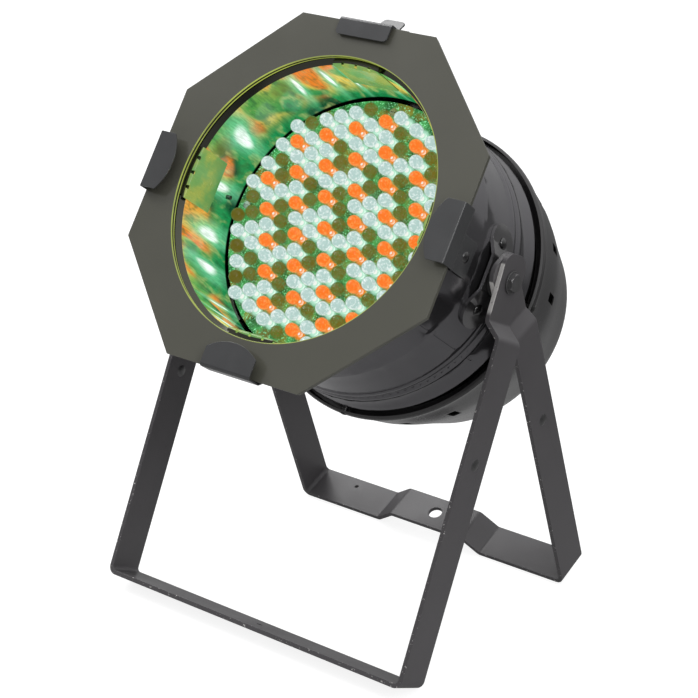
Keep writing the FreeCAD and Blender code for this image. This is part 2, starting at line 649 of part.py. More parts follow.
def led_groups():
    groups = {"red": [], "green": [], "blue": []}
    one = led()
    reach = int(math.sqrt(LED_REACH_SQ))
    for i in range(-reach, reach + 1):
        for j in range(-reach, reach + 1):
            if i * i + j * j > LED_REACH_SQ or (i, j) in SCREW_PLACES:
                continue
            x, z = grid_place(i, j)
            copy = one.copy()
            copy.translate(V(x, 0, z))
            groups[led_colour(i, j)].append(copy)
    return groups


def board_screw(i, j):
    x, z = grid_place(i, j)
    head = rod(3.0, V(x, BOARD_FRONT - 2.0, z), V(x, BOARD_FRONT, z))
    slot = box(x - 2.2, x + 2.2, BOARD_FRONT - 2.1, BOARD_FRONT - 1.2, z - 0.35, z + 0.35)
    shank = rod(1.45, V(x, BOARD_FRONT, z), V(x, BOARD_FRONT + 9, z))
    return joined([head.cut(slot), shank])


def led_board():
    board = rod(BOARD_R, V(0, BOARD_FRONT, 0), V(0, BOARD_FRONT + BOARD_T, 0))
    for i, j in SCREW_PLACES:
        x, z = grid_place(i, j)
        board = board.cut(rod(1.5, V(x, BOARD_FRONT - 1, z), V(x, BOARD_FRONT + 3, z)))
    return board


def standoffs():
    """Threaded posts pressed into the carrier, one for each board screw."""
    posts = []
    for i, j in SCREW_PLACES:
        x, z = grid_place(i, j)
        low = BOARD_FRONT + BOARD_T
        post = rod(3.0, V(x, low, z), V(x, low + 8, z))
        posts.append(post.cut(rod(1.5, V(x, low - 1, z), V(x, low + 9, z))))
    return posts


def board_carrier():
    """Flat plate across the can behind the light board, with four bent feet."""
    y = BOARD_FRONT + BOARD_T + 8
    plate = rod(97.0, V(0, y, 0), V(0, y + 1.5, 0)).cut(rod(30.0, V(0, y - 1, 0), V(0, y + 3, 0)))
    solids = [plate]
    for angle in (45, 135, 225, 315):
        foot = box(92.0, can_radius(y) - WALL - 1.2, y, y + 1.5, -9, 9)
        flange = box(can_radius(y) - WALL - 2.4, can_radius(y) - WALL - 1.2, y, y + 12, -9, 9)
        solids.append(round_can(joined([foot, flange]), angle))
    return joined(solids + standoffs())


# ================================================================ electronics
def chassis_plate():
    plate = box(-60, 60, 40, 41.5, -60, 60)
    feet = []
    for x in (-52, 50.5):
        for z in (-52, 50.5):
            feet.append(rod(3.0, V(x, -8.5, z), V(x, 40, z)))
    return joined([plate] + feet)


def power_supply():
    case = box(-48, 48, 0, 38, -28, 28)
    slots = []
    for i in range(9):
        slots.append(box(-40 + 9 * i, -36 + 9 * i, -1, 3, -20, 20))
    return case.cut(Part.makeCompound(slots))


def driver_board():
    y = 43.5
    board = box(-55, 55, y, y + 1.6, -55, 55)
    chips = [box(-30, -12, y + 1.6, y + 4.6, 10, 28), box(5, 25, y + 1.6, y + 4.0, -8, 4),
             box(-40, -20, y + 1.6, y + 12, -40, -28)]
    for x in (8, 24, 40):
        chips.append(rod(5.5, V(x, y + 1.6, 36), V(x, y + 20, 36)))
    return joined([board] + chips)


# ================================================================ rear panel
def panel_box(x, z, width, height, y0, y1):
    return box(x - width / 2, x + width / 2, y0, y1, z - height / 2, z + height / 2)


def rear_panel():
    y0 = PANEL_Y
    y1 = PANEL_Y + PANEL_T
    panel = rod(PANEL_R, V(0, y0, 0), V(0, y1, 0))
    cutouts = [panel_box(0, DISPLAY_Z, DISPLAY_SIZE[0], DISPLAY_SIZE[1], y0 - 1, y1 + 1)]
    for x in BUTTON_XS:
        cutouts.append(rod(BUTTON_R + 0.4, V(x, y0 - 1, BUTTON_Z), V(x, y1 + 1, BUTTON_Z)))
    for x in DATA_XS:
        cutouts.append(rod(11.9, V(x, y0 - 1, DATA_Z), V(x, y1 + 1, DATA_Z)))
    cutouts.append(panel_box(DATA_XS[1], DATA_Z + RELEASE_UP, 7.0, 4.6, y0 - 1, y1 + 1))
    for x in POWER_XS:
        cutouts.append(panel_box(x, POWER_Z, 27.4, 20.4, y0 - 1, y1 + 1))
    fuse_x, fuse_z = FUSE_AT
    cutouts.append(rod(FUSE_R + 0.1, V(fuse_x, y0 - 1, fuse_z), V(fuse_x, y1 + 1, fuse_z)))
    cutouts.append(rod(2.1, V(-fuse_x, y0 - 1, fuse_z), V(-fuse_x, y1 + 1, fuse_z)))
    for x, z in panel_screw_places():
        cutouts.append(rod(1.6, V(x, y0 - 1, z), V(x, y1 + 1, z)))
    return panel.cut(Part.makeCompound(cutouts))


def panel_screw_places():
    return [(77.0 * cos(a), 77.0 * sin(a)) for a in (45, 135, 225, 315)]


def panel_screw(x, z, out_y, shank_r, head_r):
    """Pan head screw along the can's axis, cross-slotted."""
    screw = pan_head(0, 0, head_r, 1.8, shank_r, -8)
    arm = head_r * 0.6
    screw = screw.cut(box(0.9, 3, -arm, arm, -0.3, 0.3))
    screw = screw.cut(box(0.9, 3, -0.3, 0.3, -arm, arm))
    screw.rotate(ORIGIN, AXIS_Z, 90)
    screw.translate(V(x, out_y, z))
    return screw


def display_window():
    width, height = DISPLAY_SIZE
    glass = panel_box(0, DISPLAY_Z, width - 0.4, height - 0.4, PANEL_Y, PANEL_Y + PANEL_T + 0.2)
    bezel = panel_box(0, DISPLAY_Z, width + 5, height + 5, PANEL_Y - 1.2, PANEL_Y)
    return joined([glass, bezel])


def display_board():
    board = panel_box(0, 32.0, 84.0, 50.0, PANEL_Y - 12, PANEL_Y - 10.4)
    digits = panel_box(0, DISPLAY_Z, 44.0, 15.0, PANEL_Y - 10.4, PANEL_Y - 1.4)
    switches = [panel_box(x, BUTTON_Z, 6.2, 6.2, PANEL_Y - 10.4, PANEL_Y - 6.8) for x in BUTTON_XS]
    return joined([board, digits] + switches)


def menu_button(x):
    cap = rod(BUTTON_R, V(x, PANEL_Y - 3.4, BUTTON_Z), V(x, PANEL_Y + PANEL_T + 1.8, BUTTON_Z))
    skirt = rod(BUTTON_R + 1.2, V(x, PANEL_Y - 5.2, BUTTON_Z), V(x, PANEL_Y - 3.4, BUTTON_Z))
    return joined([cap, skirt])


def data_shell(x, female):
    """Panel connector: square flange, round barrel behind, socket ring or insert in front."""
    face = PANEL_Y + PANEL_T
    flange = panel_box(x, DATA_Z, DATA_SIZE[0], DATA_SIZE[1], face, face + 1.8)
    corners = [e for e in flange.Edges if abs(e.tangentAt(e.FirstParameter).y) > 0.99]
    flange = flange.makeFillet(3.0, corners)
    barrel_part = rod(11.7, V(x, face - 22, DATA_Z), V(x, face + 0.5, DATA_Z))
    body = joined([flange, barrel_part])
    for side in (-1, 1):
        screw_x = x + side * 9.5
        screw_z = DATA_Z + side * 12
        body = body.cut(rod(1.6, V(screw_x, face - 1, screw_z), V(screw_x, face + 3, screw_z)))
    if female:
        body = body.cut(rod(9.3, V(x, face - 1.5, DATA_Z), V(x, face + 3, DATA_Z)))
        for angle in (90, 210, 330):
            px = x + 3.6 * cos(angle)
            pz = DATA_Z + 3.6 * sin(angle)
            body = body.cut(rod(1.3, V(px, face - 14, pz), V(px, face, pz)))
        return body.cut(panel_box(x, DATA_Z + RELEASE_UP, 7.0, 4.6, face - 6, face + 3))
    return body.cut(rod(9.3, V(x, face - 15, DATA_Z), V(x, face + 3, DATA_Z)))


def data_pins(x):
    pins = []
    face = PANEL_Y + PANEL_T
    for angle in (90, 210, 330):
        px = x + 3.6 * cos(angle)
        pz = DATA_Z + 3.6 * sin(angle)
        pins.append(rod(1.2, V(px, face - 15, pz), V(px, face - 2.5, pz)))
    return pins


def release_tab(x):
    face = PANEL_Y + PANEL_T
    return panel_box(x, DATA_Z + RELEASE_UP, 6.2, 3.8, face - 2.4, face + 2.8)


def power_socket(x, male):
    face = PANEL_Y + PANEL_T
    bezel = panel_box(x, POWER_Z, POWER_SIZE[0], POWER_SIZE[1], face, face + 2.0)
    body = panel_box(x, POWER_Z, 27.2, 20.2, face - 18, face + 0.5)
    socket = joined([bezel, body])
    if male:
        return socket.cut(power_outline(x, 24.0, 16.6, face - 15.5, face + 3))
    channel = power_outline(x, 24.4, 17.0, face - 15.5, face + 3)
    channel = channel.cut(power_outline(x, 21.6, 14.2, face - 16, face + 4))
    socket = socket.cut(channel)
    for dx, dz in POWER_PINS:
        socket = socket.cut(panel_box(x + dx, POWER_Z + dz, 2.4, 5.0, face - 13, face + 3))
    return socket



def power_outline(x, width, height, y0, y1):
    """Rectangle with its two upper corners cut, as on a three-pin appliance socket."""
    w = width / 2
    h = height / 2
    corners = [(-w, -h), (w, -h), (w, h - 4.5), (w - 4.5, h), (-w + 4.5, h), (-w, h - 4.5)]
    return prism([V(x + cx, y0, POWER_Z + cz) for cx, cz in corners], V(0, y1 - y0, 0))


def power_pins(x):
    face = PANEL_Y + PANEL_T
    pins = []
    for dx, dz in POWER_PINS:
        pins.append(panel_box(x + dx, POWER_Z + dz, 2.0, 4.0, face - 15.5, face - 1.5))
    return pins


def fuse_holder():
    x, z = FUSE_AT
    face = PANEL_Y + PANEL_T
    flange = rod(8.0, V(x, face, z), V(x, face + 2.0, z))
    body = rod(FUSE_R, V(x, face - 26, z), V(x, face + 1, z))
    holder = joined([flange, body])
    return holder.cut(rod(4.5 + RUN_GAP, V(x, face - 22, z), V(x, face + 3, z)))


def fuse_cap():
    x, z = FUSE_AT
    face = PANEL_Y + PANEL_T
    knob = rod(5.6, V(x, face + 2.2, z), V(x, face + 7.2, z))
    knob = knob.cut(box(x - 7, x + 7, face + 6.2, face + 8, z - 0.6, z + 0.6))
    for i in range(12):
        knob = knob.cut(rod(0.5, V(x + 5.7 * cos(30 * i), face + 2, z + 5.7 * sin(30 * i)),
                            V(x + 5.7 * cos(30 * i), face + 8, z + 5.7 * sin(30 * i))))
    stem = rod(4.5, V(x, face - 20, z), V(x, face + 3, z))
    return joined([knob, stem])


# ================================================================ assembly
os.makedirs("parts", exist_ok=True)

export_can("can_barrel", barrel())
export_can("rear_cap", rear_cap())
export_can("rear_cap_screws", *[round_can(cap_screw(), angle) for angle in CAP_SCREW_ANGLES])

export_can("gel_frame_front_sheet", front_sheet())
export_can("gel_frame_spacer", frame_spacer())
back_sheet = frame_sheet(FRAME_FLAT - 0.8, FRAME_FRONT + SHEET + SHEET_GAP, FRAME_HOLE_R + 0.4)
export_can("gel_frame_back_sheet", back_sheet)

for name, angle in (("right", 0), ("left", 180), ("bottom", 270)):
    export_can("frame_clip_" + name, round_can(clip(), angle))
    export_can("frame_seat_" + name, round_can(seat(118.0, 17.0), angle))
clip_rivet = pan_head(can_radius(-40) + 1.95, CLIP_RIVET_Y, 4.0, 1.6, 1.6, 98.0)
export_can("clip_rivets", *[round_can(clip_rivet, a) for a in (0, 180, 270)])
seat_rivet = pan_head(0, 0, 3.4, 1.3, 1.6, -6.5)
seat_rivet.rotate(ORIGIN, AXIS_Z, 180)
seat_rivet.translate(V(96.15, SEAT_RIVET_Y, 0))
export_can("seat_rivets", *[round_can(seat_rivet, a) for a in (0, 90, 180, 270)])

export_can("latch_bracket", round_can(latch_bracket(), 90))
export_can("latch", round_can(latch(), 90))
export_can("latch_pin", round_can(latch_pin(), 90))
export_can("latch_spring", round_can(latch_spring(), 90))

for name, on_left in (("right", False), ("left", True)):
    pieces = {"pivot_bracket_": pivot_bracket(), "friction_disc_": friction_disc(),
              "pivot_washer_": pivot_washer(), "pivot_bolt_": pivot_bolt(), "pivot_nut_": pivot_nut()}
    for prefix, shape in pieces.items():
        export_can(prefix + name, mirrored(shape) if on_left else shape)
ear_rivet = pan_head(can_radius(4.2) + STRAP_T + 0.02, 0, 4.2, 1.8, 2.0, 99.0)
ear_rivet_angles = (-EAR_ANGLE, EAR_ANGLE, 180 - EAR_ANGLE, 180 + EAR_ANGLE)
export_can("pivot_bracket_rivets", *[round_can(ear_rivet, angle) for angle in ear_rivet_angles])

for name, shape, leg_x, lean in (("front_yoke", front_yoke(), FRONT_LEG_X, -LEAN),
                                 ("rear_yoke", rear_yoke(), REAR_LEG_X, LEAN)):
    export(name, on_yoke(shape, lean))
    plugs = [on_yoke(leg_plug(leg_x), lean), on_yoke(mirrored(leg_plug(leg_x)), lean)]
    export(name + "_plugs", Part.makeCompound(plugs))

export_can("led_board", led_board())
for colour, lamps in led_groups().items():
    print(colour, len(lamps))
    export_can("leds_" + colour, *lamps)
export_can("led_board_screws", *[board_screw(i, j) for i, j in SCREW_PLACES])
export_can("board_carrier", board_carrier())
export_can("chassis_plate", chassis_plate())
export_can("power_supply", power_supply())
export_can("driver_board", driver_board())

export_can("rear_panel", rear_panel())
panel_screws = [panel_screw(x, z, PANEL_Y + PANEL_T, 1.5, 3.0) for x, z in panel_screw_places()]
export_can("rear_panel_screws", *panel_screws)
export_can("display_window", display_window())
export_can("display_board", display_board())
for number, x in enumerate(BUTTON_XS, start=1):
    export_can("menu_button_%d" % number, menu_button(x))
export_can("data_input_socket", data_shell(DATA_XS[0], False))
export_can("data_input_pins", *data_pins(DATA_XS[0]))
export_can("data_output_socket", data_shell(DATA_XS[1], True))
export_can("data_release_tab", release_tab(DATA_XS[1]))
export_can("power_inlet", power_socket(POWER_XS[0], True))
export_can("power_inlet_pins", *power_pins(POWER_XS[0]))
export_can("power_outlet", power_socket(POWER_XS[1], False))
export_can("fuse_holder", fuse_holder())
export_can("fuse_cap", fuse_cap())
export_can("earth_stud", panel_screw(-FUSE_AT[0], FUSE_AT[1], PANEL_Y + PANEL_T, 2.0, 4.5))
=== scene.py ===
import bmesh
import bpy
import json
import math
from mathutils import Matrix, Vector


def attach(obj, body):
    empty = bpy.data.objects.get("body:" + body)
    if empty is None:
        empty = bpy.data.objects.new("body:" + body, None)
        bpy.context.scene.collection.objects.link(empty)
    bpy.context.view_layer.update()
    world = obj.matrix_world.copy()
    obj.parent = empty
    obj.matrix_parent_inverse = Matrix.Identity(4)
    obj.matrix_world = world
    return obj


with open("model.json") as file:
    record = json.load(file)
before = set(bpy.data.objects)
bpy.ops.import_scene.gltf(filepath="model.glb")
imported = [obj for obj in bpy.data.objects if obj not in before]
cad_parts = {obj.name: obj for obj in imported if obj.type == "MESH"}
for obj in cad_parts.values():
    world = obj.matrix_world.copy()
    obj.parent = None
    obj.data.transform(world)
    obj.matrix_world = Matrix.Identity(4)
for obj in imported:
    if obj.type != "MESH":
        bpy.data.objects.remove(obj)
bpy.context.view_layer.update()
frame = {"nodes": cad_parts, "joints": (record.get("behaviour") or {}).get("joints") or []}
NODES = frame["nodes"]
JOINTS = {joint["name"]: joint for joint in frame["joints"]}

# ---------------------------------------------------------------- frames of reference
PIVOT = Vector(JOINTS["front_yoke_pivot"]["pos_m"])
TILT = math.radians(33.2)
LEAN = math.radians(23.6)
CAN = ("can", TILT)            # each frame is named, with the turn about X that undoes it
FRONT_LEG = ("front", LEAN)
REAR_LEG = ("rear", -LEAN)

# Places on the object, in millimetres in the can's frame or a yoke's: the same as in the CAD model.
CAN_FRONT = -86.0              # y where the rolled rim starts
CAN_TAPER = 0.045              # growth of the can's radius per millimetre of length
WALL_MIDDLE_R = 99.9           # radius of the middle of the can's wall at CAN_FRONT
FRAME_HOLE_R = 102.2
SEAT_R = 98.8                  # between a seat plate's inner and outer faces
HALF_BAR = 15.0                # half the width of a yoke's flat bar
BOARD_FRONT = -28.2
GRID_PITCH = 11.84             # of the diodes' square grid
GRID_TURN = math.radians(23.06)
GRID_REACH_SQ = 58             # grid places up to this squared distance from the middle are filled
SCREW_PLACES = ((-7, 3), (3, 7), (7, -3), (-3, -7))

# How the light is lit and seen.
DARK_COLUMN = -7               # the outermost column of red diodes is not lit
# Painted highlights: these streaks are colour emitted from the can's inner wall.
PAINTED_STREAKS = 21                   # bright streaks round the can's inner wall
CAMERA_AZIMUTH = 36.0          # degrees to the right of straight ahead
CAMERA_ELEVATION = 20.47
CAMERA_ROLL = -2.24
CAMERA_PLACE = (-12.856, -73.332, 1397.87)  # right, up and back from the pivot, millimetres
CAMERA_LENS = 102.05
CAMERA_SENSOR = 36.0


# ---------------------------------------------------------------- shader helper
class Shader:
    """Lays out the nodes of one material."""

    def __init__(self, name):
        self.material = bpy.data.materials.new(name)
        self.material.use_nodes = True
        self.tree = self.material.node_tree
        self.tree.nodes.clear()
        self.output = self.node("ShaderNodeOutputMaterial")

    def node(self, kind, inputs=None, **settings):
        made = self.tree.nodes.new(kind)
        for key, value in settings.items():
            setattr(made, key, value)
        for key, value in (inputs or {}).items():
            self.feed(made.inputs[key], value)
        return made

    def feed(self, socket, value):
        if isinstance(value, bpy.types.NodeSocket):
            self.tree.links.new(value, socket)
        elif socket.type == "RGBA" and len(value) == 3:
            socket.default_value = (*value, 1.0)
        else:
            socket.default_value = value

    def math(self, operation, a, b=0.0, c=0.0):
        return self.node("ShaderNodeMath", {0: a, 1: b, 2: c}, operation=operation).outputs[0]

    def times(self, a, b):
        return self.math("MULTIPLY", a, b)

    def length(self, a, b):
        """Length of a vector with two parts."""
        return self.math("SQRT", self.math("ADD", self.times(a, a), self.times(b, b)))

    def steps(self, value, low, high):
        """Rises smoothly from 0 to 1 as value goes from low to high."""
        ranged = self.node("ShaderNodeMapRange", {"Value": value, "From Min": low, "From Max": high},
                           interpolation_type="SMOOTHSTEP")
        return ranged.outputs["Result"]

    def fit(self, value, low, high, to_low, to_high):
        """Goes evenly from to_low to to_high as value goes from low to high."""
        ranged = self.node("ShaderNodeMapRange", {"Value": value, "From Min": low, "From Max": high,
                                                  "To Min": to_low, "To Max": to_high})
        return ranged.outputs["Result"]

    def mix(self, factor, a, b):
        made = self.node("ShaderNodeMix", data_type="RGBA")
        self.feed(made.inputs["Factor"], factor)
        self.feed(made.inputs[6], a)
        self.feed(made.inputs[7], b)
        return made.outputs[2]

    def local(self, where):
        """Position in millimetres in the can's or a yoke's own frame."""
        turn = Matrix.Rotation(where[1], 3, "X")
        shift = turn @ PIVOT * -1000.0
        coords = self.node("ShaderNodeTexCoord").outputs["Object"]
        placed = self.node("ShaderNodeMapping", {"Vector": coords, "Location": shift,
                                                 "Rotation": (where[1], 0, 0), "Scale": (1000, 1000, 1000)})
        return placed.outputs["Vector"]

    def scaled(self, vector, scale):
        return self.node("ShaderNodeMapping", {"Vector": vector, "Scale": scale}).outputs["Vector"]

    def split(self, vector):
        return self.node("ShaderNodeSeparateXYZ", {"Vector": vector}).outputs

    def noise(self, vector, scale, detail=3.0, roughness=0.55, distortion=0.0):
        made = self.node("ShaderNodeTexNoise", {"Vector": vector, "Scale": scale, "Detail": detail,
                                                "Roughness": roughness, "Distortion": distortion})
        return made.outputs["Fac"]

    def bump(self, height, distance, strength=1.0, before=None):
        inputs = {"Height": height, "Distance": distance * 0.001, "Strength": strength}
        if before is not None:
            inputs["Normal"] = before
        return self.node("ShaderNodeBump", inputs).outputs["Normal"]

    def finish(self, shader):
        self.tree.links.new(shader.outputs[0], self.output.inputs["Surface"])
        return self.material

    def surface(self, inputs):
        """Finish with a Principled surface."""
        return self.finish(self.node("ShaderNodeBsdfPrincipled", inputs))


# ---------------------------------------------------------------- materials
def lacquer(name, colour, gloss, coat, orange_peel):
    """Sprayed black lacquer: slight mottling, dust and orange peel."""
    s = Shader(name)
    place = s.local(CAN)
    cloud = s.noise(place, 0.03, 4.0)
    fine = s.noise(place, 0.9, 2.0)
    dust = s.steps(s.noise(place, 2.2, 1.0), 0.70, 0.78)
    lighter = [min(1.0, c * 1.30 + 0.004) for c in colour]
    darker = [c * 0.82 for c in colour]
    tone = s.mix(cloud, darker, lighter)
    tone = s.mix(s.times(dust, 0.35), tone, (0.22, 0.22, 0.20))
    uneven = s.math("ADD", cloud, s.times(fine, 0.5))
    return s.surface({"Base Color": tone, "Roughness": s.fit(uneven, 0.4, 1.1, gloss * 0.8, gloss * 1.35),
                      "Coat Weight": coat, "Coat Roughness": 0.12, "Normal": s.bump(fine, orange_peel)})


def yoke_paint(name, where):
    """Satin black paint on flat bar, worn to bright steel in chips along the edges, with a painted
    highlight of bright steel on the tab's front edge.
    """
    s = Shader(name)
    place = s.local(where)
    _, y, z = s.split(place)
    across = s.math("ABSOLUTE", y)
    cloud = s.noise(place, 0.025, 4.0)
    fine = s.noise(place, 1.1, 2.0)
    chip = s.noise(place, 0.55, 6.0, 0.65)
    edge = s.steps(across, HALF_BAR - 1.1, HALF_BAR)
    chips_and_painted_highlight = s.steps(s.math("ADD", chip, s.times(edge, 0.155)), 0.785, 0.80)
    chips_and_painted_highlight = s.times(chips_and_painted_highlight, s.steps(across, HALF_BAR - 1.8, HALF_BAR - 0.8))
    # Painted highlight: the front edge of the tab, round the pivot, is painted as patches of bright bare
    # steel to stand for the highlight it catches.
    painted_tab_highlight = s.times(s.steps(z, -26.0, -22.0), s.steps(y, 0.4 - HALF_BAR, 0.1 - HALF_BAR))
    chips_and_painted_highlight = s.math("MAXIMUM", chips_and_painted_highlight, s.times(painted_tab_highlight, s.steps(chip, 0.30, 0.38)))
    scuff = s.noise(s.scaled(place, (1.0, 1.0, 0.05)), 1.6, 3.0)
    scuffed = s.times(s.steps(scuff, 0.62, 0.72), 0.22)
    tone = s.mix(cloud, (0.080, 0.076, 0.080), (0.112, 0.107, 0.112))
    tone = s.mix(scuffed, tone, (0.16, 0.15, 0.16))
    tone = s.mix(chips_and_painted_highlight, tone, (0.78, 0.76, 0.74))
    rough = s.math("ADD", s.fit(cloud, 0.3, 0.7, 0.30, 0.42), s.times(scuffed, 0.5))
    relief = s.math("SUBTRACT", s.times(fine, 0.5), chips_and_painted_highlight)
    return s.surface({"Base Color": tone, "Roughness": rough, "Metallic": s.times(chips_and_painted_highlight, 0.35),
                      "Normal": s.bump(relief, 0.05)})


def spun_metal(name, colour, rough, lines):
    """Polished metal spun about the can's axis: fine rings, faint smears and dents."""
    s = Shader(name)
    place = s.local(CAN)
    rings = s.noise(s.scaled(place, (0.02, 2.4, 0.02)), 1.0, 3.0)
    smear = s.noise(s.scaled(place, (1.0, 0.4, 1.0)), 0.03, 4.0)
    dents = s.noise(place, 0.018, 2.0)
    tone = s.mix(smear, [c * 0.7 for c in colour], [min(1, c * 1.25) for c in colour])
    uneven = s.math("ADD", smear, s.times(rings, 0.4))
    return s.surface({"Base Color": tone, "Metallic": 0.92,
                      "Roughness": s.fit(uneven, 0.4, 1.0, rough * 0.7, rough * 1.4),
                      "Normal": s.bump(rings, lines, 1.0, s.bump(dents, 1.2, 0.35))})


def plated(name, colour, rough, metallic=1.0):
    """Plated or oxidised steel with a patchy film."""
    s = Shader(name)
    place = s.local(CAN)
    patch = s.noise(place, 0.25, 5.0, 0.6)
    scratch = s.noise(s.scaled(place, (0.3, 3.0, 0.9)), 1.2, 3.0)
    tone = s.mix(patch, [c * 0.72 for c in colour], [min(1, c * 1.2) for c in colour])
    roughness = s.fit(patch, 0.3, 0.7, rough * 0.75, rough * 1.35)
    return s.surface({"Base Color": tone, "Metallic": metallic, "Roughness": roughness,
                      "Normal": s.bump(s.math("ADD", scratch, patch), 0.03)})


def moulded(name, colour, rough, texture=0.04):
    """Moulded plastic with a fine spark-eroded texture."""
    s = Shader(name)
    place = s.local(CAN)
    grain = s.noise(place, 3.5, 2.0)
    cloud = s.noise(place, 0.12, 3.0)
    tone = s.mix(cloud, [c * 0.8 for c in colour], [c * 1.25 for c in colour])
    roughness = s.fit(cloud, 0.3, 0.7, rough * 0.85, rough * 1.15)
    return s.surface({"Base Color": tone, "Roughness": roughness, "Normal": s.bump(grain, texture)})


def circuit(name, base, trace):
    """Solder mask over copper tracks, with tinned pads."""
    s = Shader(name)
    place = s.local(CAN)
    lanes = s.node("ShaderNodeTexVoronoi", {"Vector": place, "Scale": 0.22}, distance="CHEBYCHEV")
    borders = s.node("ShaderNodeTexVoronoi", {"Vector": place, "Scale": 0.16, "Randomness": 0.5},
                     feature="DISTANCE_TO_EDGE")
    line = s.steps(borders.outputs["Distance"], 0.06, 0.10)
    speck = s.steps(s.noise(place, 0.9, 2.0), 0.60, 0.66)
    tone = s.mix(line, trace, base)
    tone = s.mix(s.times(speck, 0.6), tone, [min(1, c * 1.8 + 0.05) for c in trace])
    tone = s.mix(s.times(lanes.outputs["Distance"], 0.3), tone, base)
    return s.surface({"Base Color": tone, "Roughness": s.fit(speck, 0, 1, 0.25, 0.12),
                      "Normal": s.bump(s.math("SUBTRACT", speck, line), 0.05)})


def grid_position(s):
    """Height above the board, distance from the nearest diode's axis, and place across the columns."""
    turned = s.node("ShaderNodeMapping", {"Vector": s.local(CAN), "Rotation": (0, GRID_TURN, 0)})
    across, y, along = s.split(turned.outputs["Vector"])
    offsets = []
    for place in (across, along):
        cells = s.math("DIVIDE", place, GRID_PITCH)
        offsets.append(s.times(s.math("SUBTRACT", cells, s.math("ROUND", cells)), GRID_PITCH))
    return s.math("SUBTRACT", BOARD_FRONT, y), s.length(*offsets), across


def lens(name, rim, heart, clear_low, clear_high):
    """Diode lens: the domed end fills with emitted light, and the stem below it is clear. On unlit diodes
    that emission is painted light, and the paler rim is a painted sheen.
    """
    s = Shader(name)
    height, _, across = grid_position(s)
    streak = s.noise(s.local(CAN), 0.55, 3.0)
    dome = s.steps(height, 9.8, 12.8)
    facing = s.node("ShaderNodeLayerWeight", {"Blend": 0.35}).outputs["Facing"]
    # Painted sheen: the emitted colour turns from heart to rim where the lens is seen edge-on, varied by a
    # streak noise.
    depth = s.math("ADD", s.times(facing, 0.9), s.fit(streak, 0.32, 0.68, -0.45, 0.65))
    tone = s.mix(s.steps(depth, 0.1, 0.8), heart, rim)
    # Painted light: the unlit outermost red column still emits, in a dim olive colour.
    if name == "lens_red_lit":
        border = (DARK_COLUMN + 0.5) * GRID_PITCH
        tone = s.mix(s.steps(across, border + 0.5, border - 0.5), tone, (0.13, 0.115, 0.012))
    light = s.node("ShaderNodeEmission", {"Color": tone, "Strength": 1.0}).outputs[0]
    clear = s.node("ShaderNodeBsdfTransparent", {"Color": (0.93, 0.97, 0.93)}).outputs[0]
    thinned = s.fit(s.steps(facing, 0.36, 0.62), 0, 1, 1.0, 0.25)
    cover = s.times(s.fit(dome, 0, 1, clear_low, clear_high), thinned)
    inner = s.node("ShaderNodeMixShader", {0: cover, 1: clear, 2: light}).outputs[0]
    skin = s.node("ShaderNodeBsdfGlossy", {"Color": (1, 1, 1), "Roughness": 0.08}).outputs[0]
    edge = s.node("ShaderNodeFresnel", {"IOR": 1.45}).outputs[0]
    return s.finish(s.node("ShaderNodeMixShader", {0: s.times(edge, 0.5), 1: inner, 2: skin}))


def glow(name, colour, fringe, strength, core, spread):
    """Light round a diode's axis: white within core, then colour, then fringe, gone at spread."""
    s = Shader(name)
    _, radius, _ = grid_position(s)
    tone = s.mix(s.steps(radius, spread * 0.72, spread * 0.92), colour, fringe)
    tone = s.mix(s.steps(radius, core + 0.7, core), tone, (1.0, 1.0, 0.96))
    light = s.node("ShaderNodeEmission", {"Color": tone, "Strength": strength}).outputs[0]
    clear = s.node("ShaderNodeBsdfTransparent", {"Color": (1, 1, 1)}).outputs[0]
    fade = s.math("POWER", s.steps(radius, spread, core), 0.7)
    return s.finish(s.node("ShaderNodeMixShader", {0: fade, 1: clear, 2: light}))


